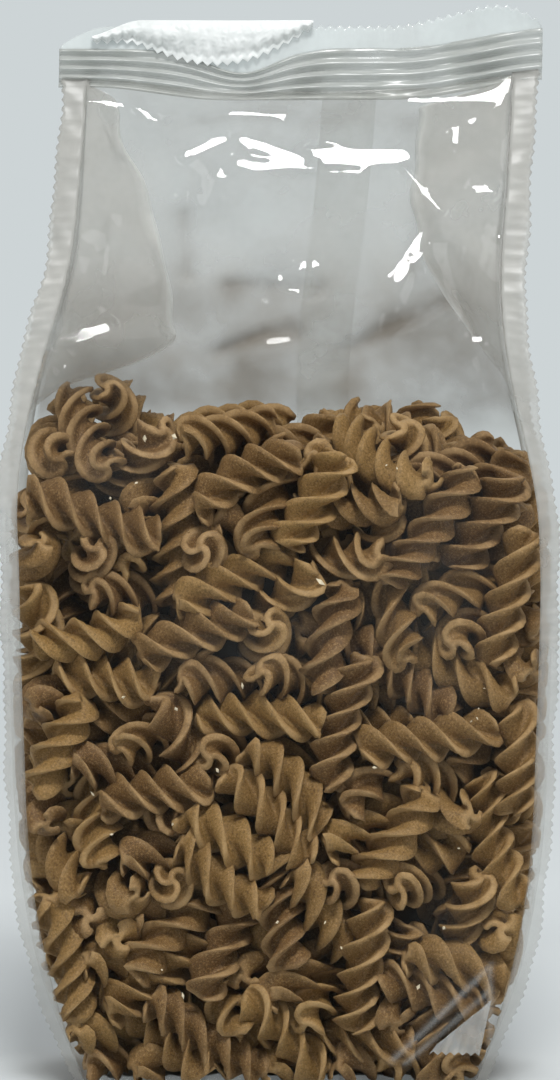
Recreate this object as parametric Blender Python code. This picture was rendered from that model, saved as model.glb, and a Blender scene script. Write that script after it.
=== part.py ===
"""Pasta packet: a clear block-bottom bag with four sealed corner fins and a ribbed, zigzag-cut top seal.

One closed solid, in metres, standing on its flat base at z = 0 with its front facing -Y.
The body is a loft of level sections: a rounded base, a full belly and an air-filled head whose
side gussets fold inwards up to the seal. The seal band, its zigzag edge and the corner of it that
is folded down over the front are lofts along X, joined to the body by Boolean unions.
"""

import math

import bmesh
import bpy

MM = 0.001

# Driving sizes, in millimetres.
BASE_HALF_WIDTH = 46.5
BELLY_HALF_WIDTH = 62.0
BELLY_LATE_SWELL = 1.4
NECK_HALF_WIDTH = 51.2
HALF_DEPTH = 30.0
FOOT_TUCK = 7.0
BASE_ROUNDING = 3.0
BASE_ROUND_HEIGHT = 3.5
RIGHT_GUSSET_DEPTH = 23.0
LEFT_GUSSET_DEPTH = 31.0
HEAD_LEAN = 5.0
BELLY_LEAN = 1.5
FOOT_FIN_WIDTH = 3.0
BELLY_FIN_WIDTH = 5.4
HEAD_FIN_WIDTH = 7.0
FIN_THICKNESS = 0.7
SEAL_FOOT = 238.0
SEAL_HALF_THICKNESS = 1.0
SEAL_START = 0.4
SEAL_OVERLAP = 2.5
RIB_GROOVE = 0.2
CREASE_X = -14.0
RIGHT_END_RISE = 5.0
LEFT_END_RISE = 3.0
RIB_COUNT = 4
RIB_PITCH = 2.6
RIB_HEIGHT = 0.4
CROWN_TOP = 254.5
CROWN_RISE = 5.5
TOOTH_PITCH = 3.2
TOOTH_DEPTH = 1.0
CROWN_HALF_THICKNESS = 0.7
END_STEP = 0.3
CORNER_DROP = 6.0
FLAP_FROM_X = -50.0
FLAP_TO_X = 3.0
FLAP_TOP = 255.5
FLAP_DROP = 11.0
FLAP_END_DROP = 2.0
FLAP_SINK = 0.5
FLAP_THICKNESS = 0.8

# How finely the lofts are cut.
BODY_LEVELS = [0.0, 1.2, 3.5, 9, 17, 27, 40, 56, 76, 98, 118, 134, 148]
BODY_LEVELS += [160, 166, 172, 178, 186, 196, 208, 218, 226, 232, 236, SEAL_FOOT]
FRONT_STEPS = 12
SIDE_STEPS = 6
SEAL_STEPS = 24


def ease(value, start, end):
    """A smooth step from 0 to 1 as value goes from start to end."""
    t = min(max((value - start) / (end - start), 0.0), 1.0)
    return t * t * (3.0 - 2.0 * t)


def swell(value, start, end):
    """A step from 0 to 1 that sets off fast and ends gently."""
    t = min(max((value - start) / (end - start), 0.0), 1.0)
    return 1.0 - (1.0 - t) ** 2


def half_width(z):
    """Half the width of the body between its corner fins."""
    foot = BASE_HALF_WIDTH + (BELLY_HALF_WIDTH - BELLY_LATE_SWELL - BASE_HALF_WIDTH) * swell(z, 0, 75)
    belly = BELLY_LATE_SWELL * ease(z, 60, 125)
    neck = (BELLY_HALF_WIDTH - NECK_HALF_WIDTH) * ease(z, 135, 205)
    return foot + belly - neck - BASE_ROUNDING * (1.0 - swell(z, 0, BASE_ROUND_HEIGHT))


def corner_depth(z):
    """How far the corners stand from the middle plane."""
    foot = HALF_DEPTH - FOOT_TUCK * (1.0 - swell(z, 0, 60))
    foot -= BASE_ROUNDING * (1.0 - swell(z, 0, BASE_ROUND_HEIGHT))
    closing = min(max((z - 140) / (SEAL_FOOT - 140), 0.0), 1.0) ** 1.35
    return foot + (SEAL_HALF_THICKNESS + 0.1 - foot) * closing


def panel_bulge(z):
    """How far the middle of the front or back panel stands out past its corners."""
    full = 1.0 + 4.5 * swell(z, 0, 50) + 3.5 * ease(z, 160, 215)
    shoulder = min(max((z - 214) / (SEAL_FOOT - 214), 0.0), 1.0)
    return full * math.sqrt(1.0 - shoulder ** 2)


def side_bulge(z):
    """How far the middle of a side panel stands out past its corners."""
    return 4.0 * swell(z, 0, 30) * (1.0 - ease(z, 130, 175))


def gusset_depth(z, side):
    """How deep the fold of the side panel goes in: the left one is tucked in just above the filling."""
    if side > 0:
        return RIGHT_GUSSET_DEPTH * ease(z, 158, 216)
    return LEFT_GUSSET_DEPTH * ease(z, 161, 180) * (1.0 - min(max((z - 180) / 66, 0.0), 1.0))


def fin_width(z):
    """Width of the flat corner seal, which is tucked in at the base and spread flat in the head."""
    belly = FOOT_FIN_WIDTH + (BELLY_FIN_WIDTH - FOOT_FIN_WIDTH) * ease(z, 0, 28)
    return belly + (HEAD_FIN_WIDTH - BELLY_FIN_WIDTH) * ease(z, 150, 190)


def lean(z):
    """The head of the bag leans a little to the right."""
    return HEAD_LEAN * ease(z, 165, 250) - BELLY_LEAN * ease(z, 120, 165) * (1.0 - ease(z, 165, 215))


def seal_rise(x):
    """The seal sags in the middle, and its two ends stand higher."""
    return RIGHT_END_RISE * ease(x, 22, 62) + LEFT_END_RISE * ease(-x, 18, 50)


def seal_pinch(x):
    """How much the ribbed band is gathered: most at its crease, and a little on towards the left end."""
    return 0.55 * math.exp(-(((x - CREASE_X) / 11.0) ** 2)) + 0.3 * ease(-x, 14, 50)


def seal_wave(x):
    """The seal bends forward where it is creased, left of the middle."""
    return -3.0 * math.exp(-(((x - CREASE_X) / 16.0) ** 2)) + 1.5 * math.exp(-(((x - 30.0) / 18.0) ** 2))


def placed(x, y, z, level=False):
    """A point of the upright bag after the head's lean and the seal's wave, and its rise unless level."""
    head = ease(z, 195, SEAL_FOOT)
    rise = 0.0 if level else head * seal_rise(x)
    return ((x + lean(z)) * MM, (y + head * seal_wave(x)) * MM, (z + rise) * MM)


def side_steps():
    """Places across a side panel, from -1 at its first corner to 1 at its last."""
    return [-1.0 + 2.0 * i / SIDE_STEPS for i in range(SIDE_STEPS + 1)]


def side_reach(z, side, v):
    """How far a side panel stands from the middle of the bag, swollen or folded in."""
    return half_width(z) + side_bulge(z) * (1.0 - v ** 2) - gusset_depth(z, side) * (1.0 - abs(v) ** 1.2)


def body_section(z):
    """One level section: front panel and its fins, right side, back panel and its fins, left side."""
    wide, deep = half_width(z), corner_depth(z)
    bulge, fin = panel_bulge(z), fin_width(z)
    inner = deep - FIN_THICKNESS
    panel = [(-wide - fin, deep)]
    for i in range(FRONT_STEPS + 1):
        u = -1.0 + 2.0 * i / FRONT_STEPS
        panel.append((wide * u, deep + bulge * (1.0 - u ** 2)))
    panel.append((wide + fin, deep))
    front = [(x, -y) for x, y in panel]
    back = [(-x, y) for x, y in panel]
    right, left = [(
        [(side * (wide + fin), -side * inner)]
        + [(side * side_reach(z, side, v), side * inner * v) for v in side_steps()]
        + [(side * (wide + fin), side * inner)]
    ) for side in (1, -1)]
    return [placed(x, y, z) for x, y in front + right + back + left]


def seal_section(x):
    """The ribbed band of the seal, cut across at one place along X."""
    pitch = RIB_PITCH * (1.0 - seal_pinch(x))
    groove = SEAL_HALF_THICKNESS - RIB_GROOVE
    front = [(groove, SEAL_FOOT - SEAL_OVERLAP), (groove, SEAL_FOOT + SEAL_START)]
    for rib in range(RIB_COUNT):
        start = SEAL_FOOT + SEAL_START + pitch * rib
        front.append((SEAL_HALF_THICKNESS + RIB_HEIGHT, start + pitch / 2))
        front.append((groove, start + pitch))
    outline = [(-y, z) for y, z in front] + [(y, z) for y, z in reversed(front)]
    return [placed(x, y, z) for y, z in outline]


def seal_end():
    """Half the width of the whole seal, fins included."""
    return half_width(SEAL_FOOT) + fin_width(SEAL_FOOT)


def rib_top(x):
    """Height of the ribbed band's upper edge at one place along X."""
    return SEAL_FOOT + SEAL_START + RIB_PITCH * (1.0 - seal_pinch(x)) * RIB_COUNT + seal_rise(x)


def slab(x, low, high, middle, thickness):
    """A flat strip cut across at one place along X, with its middle plane at middle."""
    half = thickness / 2
    corners = [(middle - half, low), (middle - half, high), (middle + half, high), (middle + half, low)]
    return [placed(x, y, z, level=True) for y, z in corners]


def teeth(start, end):
    """Places along X of the tips and notches of a zigzag cut, each with 1 at a tip and 0 at a notch."""
    count = 2 * round((end - start) / TOOTH_PITCH)
    return [(start + (end - start) * i / count, i % 2) for i in range(count + 1)]


def crown_sections():
    """The smooth band above the ribs: zigzag-cut on the right, and bent over in a plain fold under the flap."""
    end = seal_end() - 2 * END_STEP
    sections = []
    for x, tip in teeth(-end, end):
        rounding = CORNER_DROP * (1.0 - math.sqrt(1.0 - ease(abs(x), end - 12.0, end + 2.0)))
        folded = x < FLAP_TO_X
        cut = 0.8 if folded else TOOTH_DEPTH * (1 - tip)
        top = CROWN_TOP + CROWN_RISE * ease(x, 20.0, 52.0) - cut - rounding
        sections.append(slab(x, rib_top(x) - 1.0, top, 0.0, 2 * CROWN_HALF_THICKNESS))
    return sections


def flap_sections():
    """The corner of the seal that is folded down over the front, with its zigzag cut below."""
    sections = []
    middle = FLAP_SINK - SEAL_HALF_THICKNESS - FLAP_THICKNESS / 2
    for x, tip in teeth(FLAP_FROM_X, FLAP_TO_X):
        u = (x - FLAP_FROM_X) / (FLAP_TO_X - FLAP_FROM_X)
        drop = FLAP_END_DROP + (FLAP_DROP - FLAP_END_DROP) * math.sin(math.pi * u ** 1.2)
        fold = FLAP_TOP - 4.0 * ease(-x, 38.0, 52.0)
        low = fold - drop + TOOTH_DEPTH * (1 - tip)
        sections.append(slab(x, low, fold, middle, FLAP_THICKNESS))
    return sections


def loft(name, sections):
    """A closed solid through rings of points, with a flat cap on its first and last ring."""
    mesh = bmesh.new()
    rings = [[mesh.verts.new(point) for point in section] for section in sections]
    for lower, upper in zip(rings, rings[1:]):
        for i in range(len(lower)):
            j = (i + 1) % len(lower)
            mesh.faces.new((lower[i], lower[j], upper[j], upper[i]))
    mesh.faces.new(list(reversed(rings[0])))
    mesh.faces.new(rings[-1])
    bmesh.ops.recalc_face_normals(mesh, faces=mesh.faces)
    bmesh.ops.triangulate(mesh, faces=mesh.faces)
    data = bpy.data.meshes.new(name)
    mesh.to_mesh(data)
    mesh.free()
    return bpy.data.objects.new(name, data)


def clear_film():
    """Clear glossy film over wholemeal pasta, seen from a distance."""
    material = bpy.data.materials.new("clear_film_over_pasta")
    material.use_nodes = True
    shader = material.node_tree.nodes["Principled BSDF"]
    shader.inputs["Base Color"].default_value = (0.30, 0.19, 0.10, 1.0)
    shader.inputs["Roughness"].default_value = 0.25
    shader.inputs["Metallic"].default_value = 0.0
    return material


def collection(name):
    """A new collection in the scene."""
    made = bpy.data.collections.new(name)
    bpy.context.scene.collection.children.link(made)
    return made


def join(target, tool):
    """Unites a tool solid with the target by an exact Boolean."""
    union = target.modifiers.new("join_" + tool.name, "BOOLEAN")
    union.operation = "UNION"
    union.solver = "EXACT"
    union.object = tool


def build():
    for thing in list(bpy.data.objects):
        bpy.data.objects.remove(thing)
    parts = collection("pasta_packet")
    cutters = collection("cutters")

    bag = loft("pasta_bag", [body_section(z) for z in BODY_LEVELS])
    bag.data.materials.append(clear_film())
    parts.objects.link(bag)

    end = seal_end() - END_STEP
    places = [-end + 2 * end * i / SEAL_STEPS for i in range(SEAL_STEPS + 1)]
    tools = [
        loft("seal_ribs", [seal_section(x) for x in places]),
        loft("seal_crown", crown_sections()),
        loft("seal_flap", flap_sections()),
    ]
    for tool in tools:
        cutters.objects.link(tool)
        tool.hide_render = True
        tool.display_type = "WIRE"
        join(bag, tool)


build()
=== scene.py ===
# %% [markdown]
# # A clear bag of wholemeal fusilli
#
# A block-bottom bag is one web of clear film, folded round its filling and welded at the back, at the foot
# and across the top. Its four upright corners are welded too, into flat ribbed fins, so that the bag stands
# like a box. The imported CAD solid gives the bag's outer form. This script keeps that form and makes what is
# really there: the film and its welds, and several hundred loose pieces of pasta behind it.

# %% Load the frame
import math

import bpy
import numpy as np
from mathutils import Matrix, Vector


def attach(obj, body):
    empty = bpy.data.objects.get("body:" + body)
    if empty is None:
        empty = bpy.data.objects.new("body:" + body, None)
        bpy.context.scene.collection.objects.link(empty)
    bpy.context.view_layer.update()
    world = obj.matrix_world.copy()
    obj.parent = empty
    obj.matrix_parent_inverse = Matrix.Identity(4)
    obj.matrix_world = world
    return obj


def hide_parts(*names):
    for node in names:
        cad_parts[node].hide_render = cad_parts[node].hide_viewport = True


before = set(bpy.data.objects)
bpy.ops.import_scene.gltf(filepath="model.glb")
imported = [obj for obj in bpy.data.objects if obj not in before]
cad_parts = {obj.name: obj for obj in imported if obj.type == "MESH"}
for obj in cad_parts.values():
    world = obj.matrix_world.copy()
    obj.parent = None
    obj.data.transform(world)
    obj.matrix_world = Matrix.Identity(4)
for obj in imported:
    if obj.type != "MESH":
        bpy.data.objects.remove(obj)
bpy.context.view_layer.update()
MM = 0.001

# %% [markdown]
# ## Small helpers
#
# Every grown shape here is a grid of points: rows by columns. A closed film tube, a thin welded strip and a
# twist of pasta are all such grids, so one helper turns points and faces into an object, and another adds a
# shader node together with its settings and its links.

# %% Mesh helpers
def add_object(name, points, faces, materials, smooth=True):
    """A mesh object in metres from points in millimetres."""
    mesh = bpy.data.meshes.new(name)
    mesh.from_pydata((np.asarray(points) * MM).tolist(), [], faces)
    mesh.polygons.foreach_set("use_smooth", [smooth] * len(mesh.polygons))
    for material in materials:
        mesh.materials.append(material)
    mesh.validate()
    thing = bpy.data.objects.new(name, mesh)
    bpy.context.scene.collection.objects.link(thing)
    print(f"{name}: {len(mesh.vertices)} points, {len(mesh.polygons)} faces")
    return thing


def grid_faces(rows, columns, first=0, closed=False, flip=False):
    """Four-sided faces over a grid of points, joined round if closed."""
    r = np.arange(rows - 1)[:, None]
    c = np.arange(columns if closed else columns - 1)[None, :]
    d = (c + 1) % columns
    quads = np.stack([r * columns + c, r * columns + d, (r + 1) * columns + d, (r + 1) * columns + c], -1)
    quads = quads.reshape(-1, 4) + first
    return (quads[:, ::-1] if flip else quads).tolist()


def add_strip(name, front, back, materials):
    """A thin closed strip between two grids of points that face each other."""
    rows, columns = front.shape[:2]
    count = rows * columns
    faces = grid_faces(rows, columns) + grid_faces(rows, columns, count, flip=True)
    rim = list(range(columns))
    rim += [r * columns + columns - 1 for r in range(1, rows)]
    rim += [(rows - 1) * columns + c for c in range(columns - 2, -1, -1)]
    rim += [r * columns for r in range(rows - 2, 0, -1)]
    for a, b in zip(rim, rim[1:] + rim[:1]):
        faces.append((b, a, a + count, b + count))
    return add_object(name, np.concatenate([front.reshape(-1, 3), back.reshape(-1, 3)]), faces, materials)


def store(thing, name, values):
    """Stores one number per point on a mesh, for its material to read."""
    layer = thing.data.attributes.new(name, "FLOAT", "POINT")
    layer.data.foreach_set("value", np.asarray(values, dtype=np.float32).reshape(-1))


WAVES = 11
WAVE_STRENGTH = 1.4 / 1.6


def ripples(x, y, size, seed):
    """An uneven pattern from about -1 to 1 with bumps of one size: a sum of waves in many directions."""
    draw = np.random.default_rng(seed)
    total = 0.0
    for _ in range(WAVES):
        way, phase = draw.uniform(0, 2 * math.pi), draw.uniform(0, 2 * math.pi)
        pitch = size * draw.uniform(0.7, 1.5)
        total = total + np.sin((x * math.cos(way) + y * math.sin(way)) * 2 * math.pi / pitch + phase)
    return total * WAVE_STRENGTH / math.sqrt(WAVES)


# %% Material helpers
def linear(hex_colour):
    """An sRGB hex colour as the linear values that a shader works in."""
    parts = [int(hex_colour[i:i + 2], 16) / 255 for i in (1, 3, 5)]
    return tuple(p / 12.92 if p <= 0.04045 else ((p + 0.055) / 1.055) ** 2.4 for p in parts) + (1.0,)


def node(tree, kind, links=None, **settings):
    """Adds a shader node. settings name its properties or inputs, and links join inputs to other outputs."""
    made = tree.nodes.new(kind)
    for key, value in settings.items():
        if key.startswith("in_"):
            name = key[3:]
            socket = made.inputs[int(name)] if name.isdigit() else made.inputs[name.replace("_", " ")]
            socket.default_value = value
        else:
            setattr(made, key, value)
    for key, source in (links or {}).items():
        tree.links.new(source, made.inputs[key])
    return made


def material(name):
    """An empty node material and its tree and output."""
    made = bpy.data.materials.new(name)
    made.use_nodes = True
    made.node_tree.nodes.clear()
    output = node(made.node_tree, "ShaderNodeOutputMaterial")
    return made, made.node_tree, output


# %% [markdown]
# ## The form of the bag
#
# The bag is described by a few curves over its height: how wide it is between its corners, how deep it is,
# how far each panel swells, and how deep the side gussets fold in where the head closes. These are the
# curves that the CAD solid was lofted from, in the same millimetres, so the film lies exactly on the solid.

# %% Curves of the bag over its height, in millimetres
BASE_HALF_WIDTH = 46.5
BELLY_HALF_WIDTH = 62.0
BELLY_LATE_SWELL = 1.4
NECK_HALF_WIDTH = 51.2
HALF_DEPTH = 30.0
FOOT_TUCK = 7.0
BASE_ROUNDING = 3.0
BASE_ROUND_HEIGHT = 3.5
RIGHT_GUSSET_DEPTH = 23.0
LEFT_GUSSET_DEPTH = 31.0
HEAD_LEAN = 5.0
BELLY_LEAN = 1.5
FOOT_FIN_WIDTH = 3.0
BELLY_FIN_WIDTH = 5.4
HEAD_FIN_WIDTH = 7.0
SEAL_FOOT = 238.0
SEAL_FILM_GAP = 0.35
CREASE_X = -14.0
RIGHT_END_RISE = 5.0
LEFT_END_RISE = 3.0


def ease(value, start, end):
    """A smooth step from 0 to 1 as value goes from start to end."""
    t = np.clip((value - start) / (end - start), 0.0, 1.0)
    return t * t * (3.0 - 2.0 * t)


def swell(value, start, end):
    """A step from 0 to 1 that sets off fast and ends gently."""
    t = np.clip((value - start) / (end - start), 0.0, 1.0)
    return 1.0 - (1.0 - t) ** 2


def half_width(z):
    """Half the width of the bag between its corner fins."""
    foot = BASE_HALF_WIDTH + (BELLY_HALF_WIDTH - BELLY_LATE_SWELL - BASE_HALF_WIDTH) * swell(z, 0, 75)
    neck = (BELLY_HALF_WIDTH - NECK_HALF_WIDTH) * ease(z, 135, 205)
    foot = foot + BELLY_LATE_SWELL * ease(z, 60, 125)
    return foot - neck - BASE_ROUNDING * (1.0 - swell(z, 0, BASE_ROUND_HEIGHT))


def corner_depth(z):
    """How far the corners stand from the middle plane."""
    foot = HALF_DEPTH - FOOT_TUCK + FOOT_TUCK * swell(z, 0, 60)
    foot = foot - BASE_ROUNDING * (1.0 - swell(z, 0, BASE_ROUND_HEIGHT))
    closing = np.clip((z - 140) / (SEAL_FOOT - 140), 0.0, 1.0) ** 1.35
    return foot + (SEAL_FILM_GAP - foot) * closing


def panel_bulge(z):
    """How far the middle of the front or back stands out past its corners."""
    full = 1.0 + 4.5 * swell(z, 0, 50) + 3.5 * ease(z, 160, 215)
    shoulder = np.clip((z - 214) / (SEAL_FOOT - 214), 0.0, 1.0)
    return full * np.sqrt(1.0 - shoulder ** 2)


def side_bulge(z):
    """How far the middle of a side stands out past its corners."""
    return 4.0 * swell(z, 0, 30) * (1.0 - ease(z, 130, 175))


def gusset_depth(z, side):
    """How deep the fold of a side panel goes in."""
    if side > 0:
        return RIGHT_GUSSET_DEPTH * ease(z, 158, 216)
    return LEFT_GUSSET_DEPTH * ease(z, 161, 180) * (1.0 - np.clip((z - 180) / 66, 0.0, 1.0))


def fin_width(z):
    """Width of the flat corner weld."""
    belly = FOOT_FIN_WIDTH + (BELLY_FIN_WIDTH - FOOT_FIN_WIDTH) * ease(z, 0, 28)
    return belly + (HEAD_FIN_WIDTH - BELLY_FIN_WIDTH) * ease(z, 150, 190)


def lean(z):
    """The head leans a little to the right."""
    return HEAD_LEAN * ease(z, 165, 250) - BELLY_LEAN * ease(z, 120, 165) * (1.0 - ease(z, 165, 215))


def seal_rise(x):
    """The two ends of the seal stand higher than its middle."""
    return RIGHT_END_RISE * ease(x, 22, 62) + LEFT_END_RISE * ease(-x, 18, 50)


def seal_pinch(x):
    """How much the ribbed band is gathered."""
    return 0.55 * np.exp(-(((x - CREASE_X) / 11.0) ** 2)) + 0.3 * ease(-x, 14, 50)


def seal_wave(x):
    """The seal bends forward where it is creased."""
    return -3.0 * np.exp(-(((x - CREASE_X) / 16.0) ** 2)) + 1.5 * np.exp(-(((x - 30.0) / 18.0) ** 2))


def placed(x, y, z, level=False):
    """Points of the upright bag after the head's lean and the seal's wave, and its rise unless level."""
    x, y, z = np.broadcast_arrays(x, y, z)
    head = ease(z, 195, SEAL_FOOT)
    rise = 0.0 if level else head * seal_rise(x)
    return np.stack([x + lean(z), y + head * seal_wave(x), z + rise], -1)


print("width at the belly", 2 * float(half_width(100)), "mm")

# %% [markdown]
# ## Dry wholemeal pasta
#
# Wholemeal durum dough is pushed through a die, so its skin is matt and finely rough, and bran shows in it
# as small dark and pale flecks. Cut ends dry paler than the rest. The blade rims are painted paler too, as a
# painted highlight where their rounded edges catch the light. The colour therefore comes from a brown ground,
# a per-piece tone, a fleck pattern of about 0.5 mm and a stored value that marks edges and ends.

# %% Material: extruded wholemeal durum pasta
def mixed(tree, factor, first, second, blend="MIX"):
    """A mix of two colours. The first may also be another node's output."""
    made = node(tree, "ShaderNodeMix", {"Factor": factor}, data_type="RGBA", blend_type=blend)
    if isinstance(first, tuple):
        made.inputs[6].default_value = first
    else:
        tree.links.new(first, made.inputs[6])
    made.inputs[7].default_value = second
    return made.outputs[2]


def stepped(tree, value, start, end, low, high):
    """A value that goes from low to high while another goes from start to end."""
    limits = {"in_1": start, "in_2": end, "in_3": low, "in_4": high}
    return node(tree, "ShaderNodeMapRange", {"Value": value}, **limits).outputs[0]


def wholemeal_pasta():
    made, tree, output = material("extruded_wholemeal_durum_pasta")
    place = node(tree, "ShaderNodeNewGeometry").outputs["Position"]
    tone = node(tree, "ShaderNodeAttribute", attribute_name="tone").outputs["Fac"]
    edge = node(tree, "ShaderNodeAttribute", attribute_name="edge").outputs["Fac"]
    ground = mixed(tree, tone, linear("#6B4F2F"), linear("#8E6F40"))
    cloud = node(tree, "ShaderNodeTexNoise", {"Vector": place}, in_Scale=220.0, in_Detail=3.0).outputs["Fac"]
    cloudy = mixed(tree, cloud, ground, (0.45, 0.45, 0.45, 1.0), blend="OVERLAY")
    bran = node(tree, "ShaderNodeTexNoise", {"Vector": place}, in_Scale=1900.0, in_Detail=2.0,
                in_Roughness=0.6).outputs["Fac"]
    fleck = mixed(tree, stepped(tree, bran, 0.53, 0.65, 0.0, 0.5), cloudy, linear("#3E2A18"))
    speck = mixed(tree, stepped(tree, bran, 0.44, 0.35, 0.0, 0.35), fleck, linear("#B8976A"))
    patchy = stepped(tree, cloud, 0.35, 0.65, 0.15, 0.55)
    # Blade rims are painted paler as a painted highlight where their rounded edges catch the light; cut ends
    # are paler in fact.
    rim_highlight_and_pale_end = node(tree, "ShaderNodeMath", {0: edge, 1: patchy}, operation="MULTIPLY").outputs[0]
    highlit_rims_and_pale_ends = mixed(tree, rim_highlight_and_pale_end, speck, linear("#C0A073"))
    bump = node(tree, "ShaderNodeBump", {"Height": bran}, in_Strength=0.25, in_Distance=0.0002)
    shader = node(tree, "ShaderNodeBsdfPrincipled", {"Base Color": highlit_rims_and_pale_ends, "Normal": bump.outputs[0]})
    shader.inputs["Roughness"].default_value = 0.6
    shader.inputs["IOR"].default_value = 1.5
    shader.inputs["Specular IOR Level"].default_value = 0.22
    tree.links.new(shader.outputs[0], output.inputs["Surface"])
    return made


pasta = wholemeal_pasta()

# %% [markdown]
# ## One fusillo
#
# A fusillo is three blades round one axis, twisted as it leaves the die. Seen end on, the blades curl like
# a pinwheel. One section is swept along a slightly bent axis while it turns, which gives the screw. Pieces
# differ in length, pitch, bend and thickness, so each is made on its own.

# %% The twist of pasta
BLADES = 3
BLADE_REACH = 5.4
BLADE_THICKNESS = 2.25
BLADE_ARC = math.radians(138)
BLADE_POINTS = 4
TWIST_PITCH = 19.5
TWIST_STEPS = 28


def pinwheel(reach, thickness, arc):
    """The end-on outline of three arms, each an arc from the axis, and 1 for points on an edge."""
    radius = reach / (2 * math.sin(arc / 2))
    sweep = np.linspace(0.17, 0.93, BLADE_POINTS) * arc
    middle = radius * np.stack([np.sin(sweep), 1 - np.cos(sweep)], -1)
    across = np.stack([-np.sin(sweep), np.cos(sweep)], -1)
    half = thickness / 2 * np.linspace(1.0, 0.94, BLADE_POINTS)[:, None]
    tip = radius * np.array([[math.sin(arc), 1 - math.cos(arc)]])
    round_over = 0.62 * half[-1] * across[-1]
    low, high = middle - across * half, (middle + across * half)[::-1]
    arm = np.concatenate([low, tip - round_over, tip + round_over, high])
    turns = [2 * math.pi * blade / BLADES for blade in range(BLADES)]
    spins = [np.array([[math.cos(a), math.sin(a)], [-math.sin(a), math.cos(a)]]) for a in turns]
    outline = np.concatenate([arm @ spin for spin in spins])
    rim = np.concatenate([np.zeros(BLADE_POINTS - 1), [0.5, 1.0, 1.0, 0.5], np.zeros(BLADE_POINTS - 1)])
    return outline, np.tile(rim, BLADES)


def fusillo(rng, length, scale=1.0):
    """Points, faces and edge values of one piece, lying along X about its own middle."""
    arc = BLADE_ARC * rng.uniform(0.82, 1.12)
    outline, edge = pinwheel(BLADE_REACH * scale, BLADE_THICKNESS * rng.uniform(0.9, 1.12), arc)
    t = np.linspace(-0.5, 0.5, TWIST_STEPS)
    turn = 2 * math.pi * (t * length / (TWIST_PITCH * rng.uniform(0.92, 1.1))) + rng.uniform(0, 6.28)
    turn += 0.2 * np.sin(t * 7.0 + rng.uniform(0, 6.28))
    bend = rng.uniform(0.0, 3.2)
    cos, sin = np.cos(turn)[:, None], np.sin(turn)[:, None]
    blunt = 0.34 * np.abs(2 * t[:, None]) ** 13
    size = 1.0 + 0.06 * np.sin(t * 11.0 + rng.uniform(0, 6.28))[:, None] - blunt
    flat = 1.0 - rng.uniform(0.0, 0.12)
    y = (outline[:, 0] * cos - outline[:, 1] * sin) * size
    z = (outline[:, 0] * sin + outline[:, 1] * cos) * size * flat - bend * ((2 * t[:, None]) ** 2 - 0.33)
    slant = rng.uniform(-0.5, 0.5) * np.abs(2 * t[:, None]) ** 5
    points = np.stack([t[:, None] * length + slant * y, y, z], -1)
    columns = len(outline)
    arm = columns // BLADES
    faces = grid_faces(TWIST_STEPS, columns, closed=True)
    for row in (0, TWIST_STEPS - 1):
        first = row * columns
        caps = [[first + i for blade in range(BLADES) for i in (arm * blade, arm * blade + arm - 1)]]
        for blade in range(BLADES):
            low, high = first + arm * blade, first + arm * blade + arm - 1
            caps += [[low + i, low + i + 1, high - i - 1, high - i] for i in range(BLADE_POINTS - 1)]
            caps.append([low + BLADE_POINTS - 1 + i for i in range(4)])
        faces += caps if row else [cap[::-1] for cap in caps]
    edges = np.broadcast_to(edge, (TWIST_STEPS, columns)).copy()
    edges[[0, -1]] = 1.0
    return points.reshape(-1, 3), faces, edges.reshape(-1)


# %% [markdown]
# ## How the pieces settle
#
# Real pasta tumbles into the bag and locks together. Each piece is stood in for by a short chain of beads.
# All chains start scattered through the filled part of the bag, then beads that overlap push each other
# apart, the film pushes them back, and each chain is made straight again. After a few hundred rounds
# nothing moves much. The beads are thinner than the blades, because the blades of neighbours mesh like
# screw threads.

# %% Settling
PIECE_COUNT = 440
BEADS = 5
BEAD_RADIUS = 4.3
FILM_GAP = 5.6
LONGEST = 32.0
ROUNDS = 260
SINK = 0.04
FILLED_TO = 175.0
HEAP_LEVEL = 158.0
HEAP_PEAKS = [(-44.0, 10.0, 22.0), (-12.0, 9.0, 14.0), (30.0, 15.0, 9.0)]


def heap_top(x, y):
    """Height of the uneven top of the heap, with a peak at each place, of each width and height."""
    top = HEAP_LEVEL + sum(rise * np.exp(-(((x - place) / width) ** 2)) for place, width, rise in HEAP_PEAKS)
    return top - 7.0 * ease(x, 44, 60) + 2.0 * np.sin(y / 9.0 + x / 12.0)


def held(beads, gap):
    """Beads put back inside the film."""
    x, y, z = beads[:, 0], beads[:, 1], np.maximum(beads[:, 2], gap)
    level = np.minimum(z, FILLED_TO)
    wide, deep = half_width(level), corner_depth(level)
    v, u = np.clip(y / deep, -1, 1), np.clip(x / wide, -1, 1)
    across = wide + side_bulge(level) * (1 - v * v) - gap
    through = deep + panel_bulge(level) * (1 - u * u) - gap
    return np.stack([np.clip(x, -across, across), np.clip(y, -through, through), z], -1)


def near_pairs(beads, owner, reach):
    """Pairs of beads of different pieces that are closer than reach."""
    square = (beads * beads).sum(1)
    found = []
    for start in range(0, len(beads), 256):
        gap = square[start:start + 256, None] + square[None] - 2 * beads[start:start + 256] @ beads.T
        i, j = np.where(gap < reach * reach)
        i += start
        keep = (i < j) & (owner[i] != owner[j])
        found.append(np.stack([i[keep], j[keep]]))
    return np.concatenate(found, 1)


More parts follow.
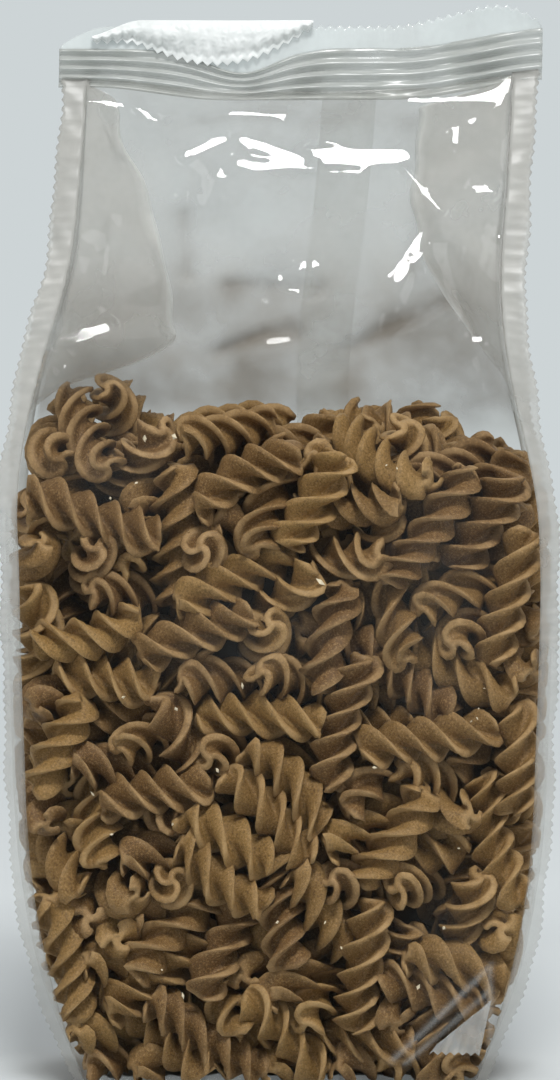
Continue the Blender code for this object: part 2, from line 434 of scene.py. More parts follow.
def settled(rng):
    """Middles, directions and lengths of all pieces after they have settled."""
    lengths = LONGEST * rng.uniform(0.8, 1.08, PIECE_COUNT)
    middles = np.zeros((0, 3))
    while len(middles) < PIECE_COUNT:
        tries = rng.uniform((-60, -36, 6), (60, 36, 172), (40, 3))
        inside = np.abs(held(tries, 7.0) - tries).sum(1) < 1e-6
        tries = tries[inside & (tries[:, 2] < heap_top(tries[:, 0], tries[:, 1]) - 3)]
        if len(middles) == 0:
            middles = tries[:1]
        elif len(tries):
            apart = np.linalg.norm(tries[:, None] - middles[None], axis=2).min(1)
            middles = np.vstack([middles, tries[apart.argmax()]])
    ways = rng.normal(0, 1, (PIECE_COUNT, 3))
    ways /= np.linalg.norm(ways, axis=1, keepdims=True)
    owner = np.repeat(np.arange(PIECE_COUNT), BEADS)
    share = np.linspace(-0.5, 0.5, BEADS)
    span = lengths - 1.8 * BEAD_RADIUS
    total = PIECE_COUNT * BEADS
    for turn in range(ROUNDS):
        beads = middles[:, None] + ways[:, None] * (span[:, None, None] * share[None, :, None])
        beads = beads.reshape(-1, 3)
        beads[:, 2] -= SINK
        if turn % 5 == 0:
            i, j = near_pairs(beads, owner, 2 * BEAD_RADIUS + 3.0)
        gap = beads[i] - beads[j]
        far = np.linalg.norm(gap, axis=1) + 1e-9
        hit = far < 2 * BEAD_RADIUS
        push = gap[hit] / far[hit, None] * (BEAD_RADIUS - far[hit, None] / 2)
        touches = np.bincount(i[hit], minlength=total) + np.bincount(j[hit], minlength=total)
        for axis in range(3):
            shift = np.bincount(i[hit], push[:, axis], total) - np.bincount(j[hit], push[:, axis], total)
            beads[:, axis] += 1.2 * shift / np.maximum(touches, 1)
        beads = held(beads, FILM_GAP)
        beads[:, 2] = np.minimum(beads[:, 2], heap_top(beads[:, 0], beads[:, 1]))
        chains = beads.reshape(PIECE_COUNT, BEADS, 3)
        middles = chains.mean(1)
        ways = ((chains - middles[:, None]) * share[None, :, None]).sum(1)
        ways /= np.linalg.norm(ways, axis=1, keepdims=True) + 1e-9
    print("beads still overlapping by", round(float((2 * BEAD_RADIUS - far[hit]).mean()), 2), "mm on average")
    return middles, ways, lengths


rng = np.random.default_rng(11)
middles, ways, lengths = settled(rng)

# %% [markdown]
# ## The loose pasta
#
# Pieces deep inside can't be seen, so only those near the film or the top of the heap are made, over a dark
# core painted as their shade. They are joined into a few objects, each light enough to handle.

# %% Making and joining the pieces
PIECES_PER_OBJECT = 100
WALL_GAP = 0.6
DEEP_INSIDE = 22.0
DEEP_LOW, DEEP_HIGH = 26, 125


def turned(points, way, spin):
    """Points laid along X turned to lie along way."""
    way = way / np.linalg.norm(way)
    helper = np.array([0.0, 0.0, 1.0]) if abs(way[2]) < 0.9 else np.array([0.0, 1.0, 0.0])
    side = np.cross(helper, way)
    side /= np.linalg.norm(side)
    up = np.cross(way, side)
    side, up = side * math.cos(spin) + up * math.sin(spin), up * math.cos(spin) - side * math.sin(spin)
    return points @ np.stack([way, side, up])


def add_fusilli(name, which):
    """Joins the chosen pieces into one object."""
    points, faces, edges, tones, first = [], [], [], [], 0
    for k in which:
        shape, quads, edge = fusillo(rng, lengths[k], rng.uniform(0.94, 1.03))
        points.append(held(turned(shape, ways[k], rng.uniform(0, 6.28)) + middles[k], WALL_GAP))
        faces += [[i + first for i in face] for face in quads]
        edges.append(edge)
        tones.append(np.full(len(shape), rng.random()))
        first += len(shape)
    made = add_object(name, np.concatenate(points), faces, [pasta])
    store(made, "edge", np.concatenate(edges))
    store(made, "tone", np.concatenate(tones))
    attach(made, "root")


depth_in = np.abs(held(middles, DEEP_INSIDE) - middles).sum(1)
hidden = (depth_in < 1e-6) & (middles[:, 2] < DEEP_HIGH) & (middles[:, 2] > DEEP_LOW)
shown = np.where(~hidden)[0]
print("pieces in all", PIECE_COUNT, "of which made", len(shown))
groups = [shown[i:i + PIECES_PER_OBJECT] for i in range(0, len(shown), PIECES_PER_OBJECT)]
for n, group in enumerate(groups):
    add_fusilli(f"fusilli_{n + 1}", group)

# %% [markdown]
# ## Crumbs
#
# Cut ends shed small pale flakes in the bag, which end up against the film.

# %% Crumbs
CRUMB_COUNT = 34
BIG_CRUMBS = [(-32.0, 157.5), (9.5, 124.0), (-25.0, 158.0)]


def add_crumbs():
    """Small pale flakes, each a squashed eight-sided lump."""
    points, faces = [], []
    corners = np.array([[1, 0, 0], [0, 1, 0], [-1, 0, 0], [0, -1, 0], [0, 0, 1], [0, 0, -1]], float)
    sides = [(0, 1, 4), (1, 2, 4), (2, 3, 4), (3, 0, 4), (1, 0, 5), (2, 1, 5), (3, 2, 5), (0, 3, 5)]
    for n in range(CRUMB_COUNT + len(BIG_CRUMBS)):
        size = (rng.uniform(0.4, 1.0) if n < CRUMB_COUNT else 1.5) * np.array([1.0, 0.6, 0.4])
        lump = turned(corners * size * rng.uniform(0.7, 1.2, (6, 1)), rng.normal(0, 1, 3), rng.uniform(0, 6))
        front = -1 if rng.random() < 0.6 else 1
        place = np.array([[rng.uniform(-50, 50), front * 60.0, rng.uniform(12, 158)]])
        if n >= CRUMB_COUNT:
            across, height = BIG_CRUMBS[n - CRUMB_COUNT]
            place = np.array([[across, -60.0, height]])
        points.append(held(lump + held(place, 1.6), 0.5))
        faces += [tuple(6 * n + i for i in side) for side in sides]
    made, tree, output = material("flaked_pale_semolina")
    shader = node(tree, "ShaderNodeBsdfPrincipled", in_Base_Color=linear("#DCD0B4"), in_Roughness=0.7)
    tree.links.new(shader.outputs[0], output.inputs["Surface"])
    return add_object("crumbs", np.concatenate(points), faces, [made], smooth=False)


crumbs = add_crumbs()
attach(crumbs, "root")

# %% [markdown]
# ## The film
#
# Cast polypropylene film is about 0.04 mm thick, clear and glossy. What the eye gets from it is not the
# film but its gloss: small sharp reflections where it bends, a faint veil over what is behind, and more
# veil where it lies double. A clear surface is mixed with a little white haze, and a mirror layer by the
# angle of view goes on top.

# %% Materials: clear cast polypropylene film and its welds
# The stored shade mixes the film's veil towards this darker warm grey. Where it is raised above the heap and
# along the back film's folds, this is painted shade.
SHADED_VEIL = "#8C857B"


def clear_film(name, haze, roughness, veil_colour, mirror=0.02, stored=False):
    """Clear film with some haze. If stored, haze, sheen and shade are read from values kept on the mesh."""
    made, tree, output = material(name)
    clear = node(tree, "ShaderNodeBsdfTransparent", in_Color=linear("#F8F8F7"))
    front_veil = node(tree, "ShaderNodeBsdfDiffuse", in_Color=linear(veil_colour))
    rear_veil = node(tree, "ShaderNodeBsdfTranslucent", in_Color=linear(veil_colour))
    if stored:
        # The stored shade darkens the veil's colour, as painted shade where it is raised.
        shade = node(tree, "ShaderNodeAttribute", attribute_name="shade").outputs["Fac"]
        veil_mix = mixed(tree, shade, linear(veil_colour), linear(SHADED_VEIL))
        tree.links.new(veil_mix, front_veil.inputs["Color"])
        tree.links.new(veil_mix, rear_veil.inputs["Color"])
    veil = node(tree, "ShaderNodeMixShader", {1: front_veil.outputs[0], 2: rear_veil.outputs[0]}, in_0=0.28)
    place = node(tree, "ShaderNodeNewGeometry").outputs["Position"]
    cloud = node(tree, "ShaderNodeTexNoise", {"Vector": place}, in_Scale=70.0, in_Detail=3.0)
    amount = stepped(tree, cloud.outputs["Fac"], 0.3, 0.7, 0.6 * haze, 1.4 * haze)
    if stored:
        veiled = node(tree, "ShaderNodeAttribute", attribute_name="haze").outputs["Fac"]
        amount = node(tree, "ShaderNodeMath", {0: amount, 1: veiled}, operation="MULTIPLY").outputs[0]
    body = node(tree, "ShaderNodeMixShader", {0: amount, 1: clear.outputs[0], 2: veil.outputs[0]})
    gloss = node(tree, "ShaderNodeBsdfGlossy", in_Color=(1, 1, 1, 1), in_Roughness=roughness)
    facing = node(tree, "ShaderNodeLayerWeight", in_Blend=0.5).outputs["Facing"]
    grazing = node(tree, "ShaderNodeMath", {0: facing}, operation="POWER", in_1=4.0).outputs[0]
    angle = node(tree, "ShaderNodeMath", {0: grazing}, operation="MULTIPLY_ADD", in_1=0.35, in_2=mirror)
    if stored:
        sheen = node(tree, "ShaderNodeAttribute", attribute_name="sheen").outputs["Fac"]
        tree.links.new(sheen, angle.inputs[2])
    top = node(tree, "ShaderNodeMixShader", {0: angle.outputs[0], 1: body.outputs[0], 2: gloss.outputs[0]})
    tree.links.new(top.outputs[0], output.inputs["Surface"])
    return made


# Welded and crumpled film is rougher than the open film, so its reflections are softer.
film = clear_film("clear_cast_polypropylene_film", 1.0, 0.05, "#EFF2F0", stored=True)
welded = clear_film("heat_welded_knurled_film", 1.0, 0.35, "#EFF2F0", stored=True)
ribbed = clear_film("jaw_ribbed_seal_film", 0.5, 0.28, "#BBBEBA", mirror=0.045)
doubled = clear_film("doubled_clear_film", 0.55, 0.12, "#DCE2E2")
crinkled = clear_film("knurled_crinkled_film", 0.95, 0.4, "#EDF0EF")
base_weld = clear_film("turned_up_base_weld_film", 0.36, 0.15, "#D2D4D2", mirror=0.05)
seam_weld = clear_film("flat_welded_seam_film", 0.05, 0.15, "#F2F4F4")

# %% The bag's skin
BELLY_LEVELS, HEAD_LEVELS = 130, 150
FRONT_COLUMNS, BACK_COLUMNS = 168, 72
SIDE_COLUMNS = 24


def line_gap(x, z, start, end):
    """Distance of points from a straight line between two places on a panel."""
    run = np.array(end) - np.array(start)
    share = np.clip(((x - start[0]) * run[0] + (z - start[1]) * run[1]) / (run @ run), 0, 1)
    return np.hypot(x - start[0] - share * run[0], z - start[1] - share * run[1])


# Flat facets of the front film: start and end of the middle line as (x, z) and half the width.
FACETS = [
    ((8, 223.5), (29, 223.5), 2.4),
    ((-9, 227.5), (5, 223.0), 1.3),
    ((-10, 221.9), (8, 220.9), 0.8),
    ((-22.5, 223.9), (-13, 227.6), 1.2),
    ((31, 236.6), (52.5, 236.8), 1.0),
    ((-46, 236.2), (-35, 235.0), 0.9),
    ((-35, 235.0), (-29, 231.5), 0.8),
    ((30, 220.2), (38, 210.8), 0.7),
    ((46.0, 216.2), (50.5, 215.0), 0.8),
    ((52, 204.6), (55, 203.8), 0.7),
    ((-51.5, 180.2), (-41, 183.2), 1.8),
    ((-51, 178.0), (-51.5, 173.5), 0.8),
    ((45.5, 181.0), (47.5, 180.0), 0.7),
    ((-12, 233.6), (1, 233.2), 0.8),
]
FACET_LEAN = 0.5

# Creases of the front panel: start and end as (x, z), then width and height of the fold on each side.
FRONT_CREASES = [
    ((34, 203), (50, 166), 2.5, 0.6),
    ((34, 203), (22, 184), 4.0, 0.9),
    ((-30, 232), (-8, 205), 3.0, 0.6),
    ((-14, 236), (-20, 214), 3.0, 0.5),
    ((26, 6), (51, 30), 3.0, 0.8),
]


def mound(x, z, middle, size, height):
    """A smooth swelling of a panel."""
    return height * np.exp(-(((x - middle[0]) / size[0]) ** 2) - ((z - middle[1]) / size[1]) ** 2)


def front_relief(x, z):
    """How far the front film stands out from its smooth form. Folded film is flat beside its creases."""
    relief = mound(x, z, (14, 225), (30, 8), 1.2)
    for start, end, width, height in FRONT_CREASES:
        relief = relief + height * np.maximum(0.0, 1 - line_gap(x, z, start, end) / width)
    belly = ease(z, 4, 20) * (1 - ease(z, 160, 175))
    relief = relief + belly * (0.32 * ripples(x, z, 13.0, 3) + 0.12 * ripples(x, z, 5.0, 4))
    head = ease(z, 165, 185) * (1 - ease(z, 226, 237))
    fine = 0.2 * np.abs(ripples(x, z, 12.0, 6)) + 0.05 * ripples(x, z, 4.0, 7)
    return relief + head * (0.7 * ripples(x, z, 34.0, 5) + fine)


# Whitened creases over the folded base, at the lower right: start and end as (x, z).
BASE_CREASES = [((27, 8), (50, 31)), ((30, 7), (50, 25)), ((50, 31), (50.5, 10))]


def whitened(x, z):
    """1 along the creases of the base, falling to 0 beside them."""
    return np.max([np.exp(-((line_gap(x, z, start, end) / 0.8) ** 2)) for start, end in BASE_CREASES], 0)


def faceted(points):
    """The front film with its facets: areas pulled flat, all leaning back alike, which mirror the lamp."""
    x, y, z = points[..., 0], points[..., 1].copy(), points[..., 2]
    for start, end, half in FACETS:
        middle = (np.array(start) + np.array(end)) / 2
        nearest = np.unravel_index(np.hypot(x - middle[0], z - middle[1]).argmin(), x.shape)
        flat = y[nearest] + FACET_LEAN * (z - z[nearest])
        share = 1 - ease(line_gap(x, z, start, end), half * 0.9, half + 1.1)
        y = y + (flat - y) * share
    return np.stack([x, y, z], -1)


# Folds of the back film in the head: start and end as (x, z), then half width. Along them the back film's
# veil is also darkened, as painted fold shadow.
BACK_FOLDS = [
    ((-13, 188.0), (8, 191.0), 2.6),
    ((-13, 174.0), (4, 180.0), 2.8),
    ((19, 174.0), (40, 187.0), 2.8),
    ((-22, 232.0), (29, 231.5), 3.0),
    ((32.5, 222.0), (31.5, 195.0), 2.2),
    ((-26, 208.0), (-23, 192.0), 2.4),
]


def back_folds(x, z):
    """1 along the folds of the back film, falling softly to 0 beside them."""
    wander = 1.5 * ripples(x, z, 22.0, 62)
    depth = 0.0
    for start, end, width in BACK_FOLDS:
        depth = np.maximum(depth, np.exp(-((line_gap(x, z + wander, start, end) / width) ** 2)))
    return depth


def back_relief(x, z):
    """The back film of the head hangs in soft folds above the heap."""
    head = ease(z, 158, 172) * (1 - ease(z, 228, 237))
    belly = ease(z, 4, 20) * (1 - ease(z, 160, 175))
    loose = 1.8 * back_folds(x, z) + 0.9 * ripples(x, z, 24.0, 8)
    return head * loose + 0.3 * belly * ripples(x, z, 13.0, 9)


# How milky the film looks: over the filling it clings and is clear, above it the loose layers scatter light.
FRONT_HAZE, SIDE_HAZE, BACK_HAZE = (0.002, 0.12), (0.02, 0.50), (0.02, 0.30)
BELLY_SHEEN, HEAD_SHEEN = 0.005, 0.022


def skin_grid():
    """The closed tube of film: front, right side, back, left side, at every level."""
    levels = [np.linspace(0.25, 150, BELLY_LEVELS), np.linspace(150.6, SEAL_FOOT + 0.5, HEAD_LEVELS)]
    z = np.concatenate(levels)[:, None]
    wide, deep = half_width(z), corner_depth(z)
    u = np.linspace(-1, 1, FRONT_COLUMNS + 1)[None, :-1]
    t = np.linspace(1, -1, BACK_COLUMNS + 1)[None, :-1]
    v = np.linspace(-1, 1, SIDE_COLUMNS + 1)[None, :-1]
    bulge = panel_bulge(z)
    open_head = 1 - ease(z, 234, 238)
    relief = front_relief(wide * u, z) * (1 - np.abs(u) ** 8) * open_head
    front = faceted(placed(wide * u, -(deep + bulge * (1 - u ** 2) + relief), z))
    relief = back_relief(wide * t, z) * (1 - np.abs(t) ** 8) * open_head
    back = placed(wide * t, deep + bulge * (1 - t ** 2) + relief, z)
    head = ease(z, 150, 170) * (1 - v ** 2)
    sides, folds = [], []
    for side in (1, -1):
        pucker = head * 1.1 * ripples(30 * v, z, 17.0, 12 + side)
        depth = gusset_depth(z, side) * open_head
        reach = wide + side_bulge(z) * (1 - v ** 2) - depth * (1 - np.abs(v) ** 1.1) + pucker
        sides.append(placed(side * reach, side * deep * v, z))
        folds.append(np.exp(-((v / 0.07) ** 2)) * ease(depth, 2, 8))
    loose = [ease(z, low, high) for low, high in ((163, 185), (150, 196), (146, 168))]
    haze = [low + (high - low) * rise for (low, high), rise in zip((FRONT_HAZE, SIDE_HAZE, BACK_HAZE), loose)]
    # Just above the heap the veil is made milkier and darker: painted shade, with a painted brown reflection
    # of the pasta.
    dim = ease(z, 150, 162) * (1 - ease(z, 182, 205))
    # dark marks the back film's folds, where the veil is darkened as painted fold shadow beside the real
    # folds of the mesh.
    dark, white = back_folds(wide * t, z) * loose[0], whitened(wide * u, z)
    back_haze = haze[2] + 0.36 * dim + 0.16 * dark
    haze = [haze[0] + 0.2 * white, haze[1] + 0.4 * folds[0], back_haze, haze[1] + 0.4 * folds[1]]
    grey = 0.42 + 0.2 * dim
    side_shades = [(grey + 0.15) * (1 - fold) for fold in folds]
    shade = [grey * (1 - white), side_shades[0], grey + 0.25 * dim + 0.25 * dark, side_shades[1]]
    x = wide * u
    soft = mound(x, z, (-8, 112), (26, 16), 0.016) + mound(x, z, (38, 124), (15, 34), 0.02)
    soft = soft + mound(x, z, (40, 30), (12, 22), 0.014) + mound(x, z, (-40, 150), (16, 14), 0.02)
    sheen = BELLY_SHEEN + (HEAD_SHEEN - BELLY_SHEEN) * loose[0]
    sheen = [sheen + soft * (1 - loose[0]), sheen + 0 * v, sheen + 0 * t, sheen + 0 * v]
    rings = [front, sides[0], back, sides[1]]
    return [np.concatenate(parts, 1) for parts in (rings, haze, sheen, shade)]


grid, haze, sheen, shade = skin_grid()
levels, columns = grid.shape[:2]
skin_faces = grid_faces(levels, columns, closed=True)
skin_faces.append(list(range(columns))[::-1])
skin_faces.append([(levels - 1) * columns + c for c in range(columns)])
skin = add_object("film_skin", grid.reshape(-1, 3), skin_faces, [film])
store(skin, "haze", haze)
store(skin, "sheen", sheen)
store(skin, "shade", shade)
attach(skin, "root")
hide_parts("pasta_bag")

# %% [markdown]
# ## Corner fins
#
# Each upright corner is pressed between knurled jaws, which leaves a flat fin with fine cross ribs and a
# slightly scalloped edge, 3 mm wide at the foot and 7 mm at the head. The ribs scatter light, so the fin
# looks whiter than the film beside it.

# %% Corner fins
FIN_THICKNESS = 0.3
FIN_SHEEN = 0.02
FIN_LEVELS, FIN_COLUMNS = 400, 7
RIB_SPACING = 2.1


def add_fin(name, side, face):
    """One fin: side is -1 for left and 1 for right, face is -1 for front and 1 for back."""
    z = np.linspace(1.0, SEAL_FOOT + 1.0, FIN_LEVELS)[:, None]
    s = np.linspace(0, 1, FIN_COLUMNS)[None]
    wobble = 0.35 * np.sin(z * 2 * math.pi / RIB_SPACING)
    wobble = wobble + 0.3 * np.sin(z / 5.3 + side) + 0.25 * np.sin(z / 2.9)
    reach = fin_width(z) - 0.9 + wobble * s
    x = half_width(z) - 0.3 + reach * s
    phase = z * 2 * math.pi / RIB_SPACING + s * 1.5 + 0.8 * np.sin(z / 9.0)
    rib = 0.04 * np.sin(phase) * np.sin(math.pi * s) ** 0.5
    rib = rib + 0.12 * ripples(6 * s, z, 5.0, 41 + side)
    curl = 1.3 * np.sin(z / 19.0 + face) * s ** 2 * (1 - ease(z, 215, 236)) * ease(z, 3, 30)
    y = corner_depth(z) - 0.2 + rib + curl
    fins = [placed(side * x, face * (y + step), z) for step in (FIN_THICKNESS / 2, -FIN_THICKNESS / 2)]
    order = fins if side * face > 0 else fins[::-1]
    made = add_strip(name, order[0], order[1], [welded])
    over_air = ease(z, 40, 165) + 0 * s
    store(made, "haze", np.tile(0.16 + 0.36 * over_air, (2, 1)))
    store(made, "shade", np.tile(0.66 - 0.12 * over_air, (2, 1)))
    store(made, "sheen", np.full(2 * over_air.size, FIN_SHEEN))
    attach(made, "root")


for face_name, face in (("front", -1), ("back", 1)):
    for side_name, side in (("left", -1), ("right", 1)):
        add_fin(f"corner_fin_{face_name}_{side_name}", side, face)

# %% [markdown]
# ## The top seal
#
# The sealing jaws press four ribs across all layers, and a zigzag knife cuts the bag free above them. Left
# of the middle the band is gathered in a crease, and the corner above it is folded down over the front.

# %% Top seal
RIB_COUNT = 4
RIB_PITCH = 2.6
CROWN_TOP = 254.5
CROWN_RISE = 5.5
CORNER_DROP = 6.0
RIB_DEPTH = 0.95
TOOTH_PITCH = 2.4
TOOTH_DEPTH = 1.1
FLAP_FROM_X, FLAP_TO_X = -50.0, 3.0
FLAP_TOP, FLAP_DROP = 255.5, 11.0
SEAL_END = float(half_width(SEAL_FOOT) + fin_width(SEAL_FOOT))


def rib_top(x):
    return SEAL_FOOT + 0.4 + RIB_PITCH * (1.0 - seal_pinch(x)) * RIB_COUNT + seal_rise(x)


def add_ribs():
    """The pressed band, corrugated as the jaws left it."""
    x = np.linspace(-SEAL_END + 0.3, SEAL_END - 0.3, 141)[None]
    s = np.linspace(0, 1, 49)[:, None]
    low = SEAL_FOOT - 1.6 + seal_rise(x)
    z = low + (rib_top(x) - low) * s
    wave = RIB_DEPTH * np.sin((s * (RIB_COUNT + 0.4) - 0.4) * 2 * math.pi) * np.sin(math.pi * s) ** 0.4
    wave = wave * (1 + 0.35 * ripples(x, s * 10, 16.0, 22)) + 0.3 * ripples(x, s * 10, 9.0, 21)
    front = placed(x, wave - 0.2, z, level=True)
    back = placed(x, wave + 0.2, z, level=True)
    return add_strip("seal_ribs", front, back, [ribbed])


def add_crown():
    """The plain band above the ribs with its zigzag cut."""
    count = 2 * round(2 * SEAL_END / TOOTH_PITCH)
    x = np.linspace(-SEAL_END + 0.6, SEAL_END - 0.6, count * 2 + 1)[None]
    tooth = np.abs(((np.arange(count * 2 + 1) / 4) % 1) * 2 - 1)[None]
    rounding = CORNER_DROP * (1.0 - np.sqrt(1.0 - ease(np.abs(x), SEAL_END - 12.6, SEAL_END + 1.4)))
    cut = np.where(x < FLAP_TO_X, 0.5, TOOTH_DEPTH * tooth)
    top = CROWN_TOP + CROWN_RISE * ease(x, 20, 52) - cut - rounding
    low = rib_top(x) - 0.8
    s = np.linspace(0, 1, 9)[:, None]
    z = low + (top - low) * s
    y = 0.3 * np.sin(x / 4.1 + 1.0) * s + 0.8 * np.sin(x / 11.0) * s ** 2
    front = placed(x, y - 0.15, z, level=True)
    back = placed(x, y + 0.15, z, level=True)
    return add_strip("seal_crown", front, back, [doubled])


def add_flap():
    """The corner folded down over the front, crinkled all over."""
    count = 2 * round((FLAP_TO_X - FLAP_FROM_X) / TOOTH_PITCH)
    x = np.linspace(FLAP_FROM_X, FLAP_TO_X, count * 4 + 1)[None]
    tooth = np.abs(((np.arange(count * 4 + 1) / 8) % 1) * 2 - 1)[None]
    u = (x - FLAP_FROM_X) / (FLAP_TO_X - FLAP_FROM_X)
    fold = FLAP_TOP - 4.0 * ease(-x, 38.0, 52.0)
    low = fold - 2.0 - (FLAP_DROP - 2.0) * np.sin(math.pi * u ** 1.2) + TOOTH_DEPTH * tooth
    s = np.linspace(0, 1, 33)[:, None]
    z = fold + (low - fold) * s
    crinkle = 0.26 * np.abs(ripples(x, z, 5.5, 31)) + 0.14 * np.abs(ripples(x, z * 1.5, 2.4, 32))
    crinkle = crinkle + 0.3 * ripples(x, z, 14.0, 33)
    swell_out = 1.6 * np.sin(math.pi * np.minimum(s * 1.2, 1)) + 0.9
    y = -swell_out - crinkle * np.minimum(s * 6, 1)
    front = placed(x, y - 0.15, z, level=True)
    back = placed(x, y + 0.15, z, level=True)
    return add_strip("seal_flap", front[:, ::-1], back[:, ::-1], [crinkled])


for piece in (add_ribs(), add_crown(), add_flap()):
    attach(piece, "root")

# %% [markdown]
# ## Base fold
#
# The bag's floor is a folded end with its own welded strip. One ribbed, zigzag end of that strip is turned
# up in front at the lower right, where it shows as a small pale patch.

# %% Base fold
def add_base_end():
    s = np.linspace(0, 1, 33)[:, None]
    t = np.linspace(0, 1, 43)[None]
    tooth = np.abs((t * 6 % 1) * 2 - 1)
    low_x, low_z = 35.7 + 12.0 * t, 10.2 - 0.6 * t - 0.9 * tooth
    top_x, top_z = 37.5 + 13.0 * t, 12.0 + 10.8 * t
    x, z = low_x + (top_x - low_x) * s, low_z + (top_z - low_z) * s
    rib = 0.16 * np.sin(t * 2 * math.pi * 5) + 0.35 * ripples(x, z, 8.0, 51)
    y = -(corner_depth(z) + panel_bulge(z) * (1 - (x / half_width(z)) ** 2) + 0.9) + rib
    return add_strip("base_seal_end", placed(x, y - 0.12, z), placed(x, y + 0.12, z), [base_weld])


base_end = add_base_end()
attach(base_end, "root")

# %% [markdown]
# ## Back seam
#
# The web's two long edges are welded together in a seam that lies flat against the back, a little to the
# right of its middle as seen from the front.

# %% Back seam
SEAM_FROM_X, SEAM_WIDTH = 5.5, 13.0
SEAM_HALF_THICKNESS = 0.12


def add_back_seam():
    z = np.linspace(2.0, SEAL_FOOT, 300)[:, None]
    s = np.linspace(0, 1, 13)[None]
    x = SEAM_FROM_X + SEAM_WIDTH * s
    u = x / half_width(z)
    y = corner_depth(z) + panel_bulge(z) * (1 - u ** 2) + 0.9 + 0.12 * np.sin(z * 2 * math.pi / RIB_SPACING)
    outer = placed(x, y + SEAM_HALF_THICKNESS, z)
    inner = placed(x, y - SEAM_HALF_THICKNESS, z)
    return add_strip("back_seam", outer, inner, [seam_weld])


seam = add_back_seam()
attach(seam, "root")

# %% [markdown]
# ## Core of the heap
#
# Behind the outer pieces the heap is only darkness between more pasta. A small lumpy core, dark brown as
# painted shade of the pasta deep in the heap, stops the view there.

# %% Core
def shaded_core():
    made, tree, output = material("painted_shade_deep_in_the_heap")
    place = node(tree, "ShaderNodeNewGeometry").outputs["Position"]
    cloud = node(tree, "ShaderNodeTexNoise", {"Vector": place}, in_Scale=120.0, in_Detail=2.0)
    # Dark browns painted as the shade deep inside the heap.
    brown = mixed(tree, cloud.outputs["Fac"], linear("#2A1B0E"), linear("#4A3319"))
    shader = node(tree, "ShaderNodeBsdfPrincipled", {"Base Color": brown}, in_Roughness=0.8)
    tree.links.new(shader.outputs[0], output.inputs["Surface"])
    return made


CORE_LOW, CORE_HIGH = 22, 132
CORE_HALF_WIDTH, CORE_HALF_DEPTH = 40, 14
CORE_LEVELS, CORE_COLUMNS = 56, 64


def add_core():
    z = np.linspace(CORE_LOW, CORE_HIGH, CORE_LEVELS)[:, None]
    a = np.linspace(0, 2 * math.pi, CORE_COLUMNS, endpoint=False)[None]
    taper = np.sqrt(np.clip(1 - ((z - (CORE_LOW + CORE_HIGH) / 2) / 56) ** 2, 0.01, 1)) ** 0.5
    lumps = 1 + 0.06 * np.sin(5 * a + z / 6) * np.sin(z / 5)
    x = CORE_HALF_WIDTH * taper * lumps * np.sign(np.cos(a)) * np.abs(np.cos(a)) ** 0.7
    y = CORE_HALF_DEPTH * taper * lumps * np.sign(np.sin(a)) * np.abs(np.sin(a)) ** 0.7
    points = np.stack(np.broadcast_arrays(x, y, z), -1)
    faces = grid_faces(CORE_LEVELS, CORE_COLUMNS, closed=True)
    faces.append(list(range(CORE_COLUMNS))[::-1])
    faces.append([(CORE_LEVELS - 1) * CORE_COLUMNS + c for c in range(CORE_COLUMNS)])
    return add_object("heap_core_painted_shade", points.reshape(-1, 3), faces, [shaded_core()])


core = add_core()
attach(core, "root")

# %% [markdown]
# ## Stage, light and camera
#
# The bag stands on a pale floor that thins out into an equally pale surrounding, seen the same from every
# side. A high soft box in front gives the film its sharp reflections where it bends over, and large dim
# panels fill the rest.

# %% Floor
FLOOR_RADIUS = 1.2
FLOOR_CORNERS = 64
FADE_FROM, FADE_TO = 0.35, 1.0


def fading_floor():
    """Matt pale paint that keeps the bag's shadow and thins out further off, so that no edge shows."""
    made, tree, output = material("matt_painted_floor")
    place = node(tree, "ShaderNodeNewGeometry").outputs["Position"]
    away = node(tree, "ShaderNodeVectorMath", {0: place}, operation="LENGTH").outputs["Value"]
    fade = node(tree, "ShaderNodeMapRange", {"Value": away}, in_1=FADE_FROM, in_2=FADE_TO)
    fade.interpolation_type = "SMOOTHSTEP"
    paint = node(tree, "ShaderNodeBsdfPrincipled", in_Base_Color=linear("#CDD3D5"), in_Roughness=0.9)
    gone = node(tree, "ShaderNodeBsdfTransparent")
    top = node(tree, "ShaderNodeMixShader", {0: fade.outputs[0], 1: paint.outputs[0], 2: gone.outputs[0]})
    tree.links.new(top.outputs[0], output.inputs["Surface"])
    return made


def add_floor():
    turn = np.linspace(0, 2 * math.pi, FLOOR_CORNERS, endpoint=False)
    rim = np.stack([np.cos(turn), np.sin(turn), 0 * turn - 0.0001], -1) * FLOOR_RADIUS / MM
    return add_object("floor", rim, [list(range(FLOOR_CORNERS))], [fading_floor()])


add_floor()


# %% Lamps and world
def add_lamp(name, place, target, width, height, power):
    lamp = bpy.data.lights.new(name, "AREA")
    lamp.shape = "RECTANGLE"
    lamp.size, lamp.size_y, lamp.energy = width, height, power
    thing = bpy.data.objects.new(name, lamp)
    thing.location = place
    thing.rotation_euler = (Vector(target) - Vector(place)).to_track_quat("-Z", "Y").to_euler()
    bpy.context.scene.collection.objects.link(thing)


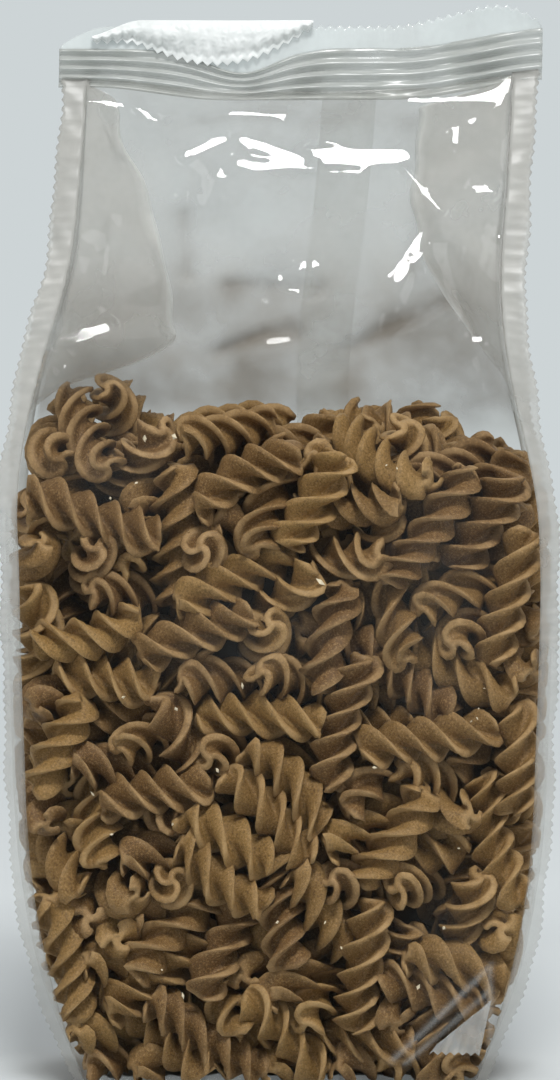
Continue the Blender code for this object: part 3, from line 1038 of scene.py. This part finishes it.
add_lamp("key_softbox", (0.1, -0.95, 1.35), (0, 0, 0.15), 0.4, 0.26, 19.0)
add_lamp("left_panel", (-1.1, -0.75, 0.45), (0, 0, 0.12), 0.8, 0.9, 5.0)
add_lamp("right_panel", (1.1, -0.6, 0.45), (0, 0, 0.12), 0.8, 0.9, 5.0)
add_lamp("rear_panel", (0.0, 0.9, 1.2), (0, 0, 0.15), 0.9, 0.4, 6.0)

world = bpy.data.worlds.new("studio")
world.use_nodes = True
sky = world.node_tree
dim_light = sky.nodes["Background"]
dim_light.inputs["Color"].default_value = (1, 1, 1, 1)
dim_light.inputs["Strength"].default_value = 0.25
pale_ground = node(sky, "ShaderNodeBackground", in_Color=linear("#CDD4D6"))
ray = node(sky, "ShaderNodeLightPath").outputs
seen = node(sky, "ShaderNodeMath", {0: ray["Is Camera Ray"], 1: ray["Is Glossy Ray"]}, operation="MAXIMUM")
seen = node(sky, "ShaderNodeMath", {0: seen.outputs[0], 1: ray["Is Transmission Ray"]}, operation="MAXIMUM")
kinds = {0: seen.outputs[0], 1: dim_light.outputs[0], 2: pale_ground.outputs[0]}
both = node(sky, "ShaderNodeMixShader", kinds)
sky.links.new(both.outputs[0], sky.nodes["World Output"].inputs["Surface"])
scene = bpy.context.scene
scene.world = world
scene.view_settings.view_transform = "Standard"
scene.cycles.transparent_max_bounces = 24

# %% Camera
CAMERA_DISTANCE = 1.4
FRONT_STANDS_OUT = 0.03
VIEW_HEIGHT = 0.2555
SENSOR = 36.0
LOOK_HEIGHT = 0.1303
CAMERA_LIFT = math.radians(6.0)
camera_data = bpy.data.cameras.new("camera")
camera = bpy.data.objects.new("camera", camera_data)
look_at = Vector((0.0, 0.0, LOOK_HEIGHT))
camera.location = look_at + CAMERA_DISTANCE * Vector((0, -math.cos(CAMERA_LIFT), math.sin(CAMERA_LIFT)))
camera.rotation_euler = (look_at - camera.location).to_track_quat("-Z", "Y").to_euler()
camera_data.sensor_width = SENSOR
camera_data.lens = SENSOR * (CAMERA_DISTANCE - FRONT_STANDS_OUT) / VIEW_HEIGHT
bpy.context.scene.collection.objects.link(camera)
scene.camera = camera
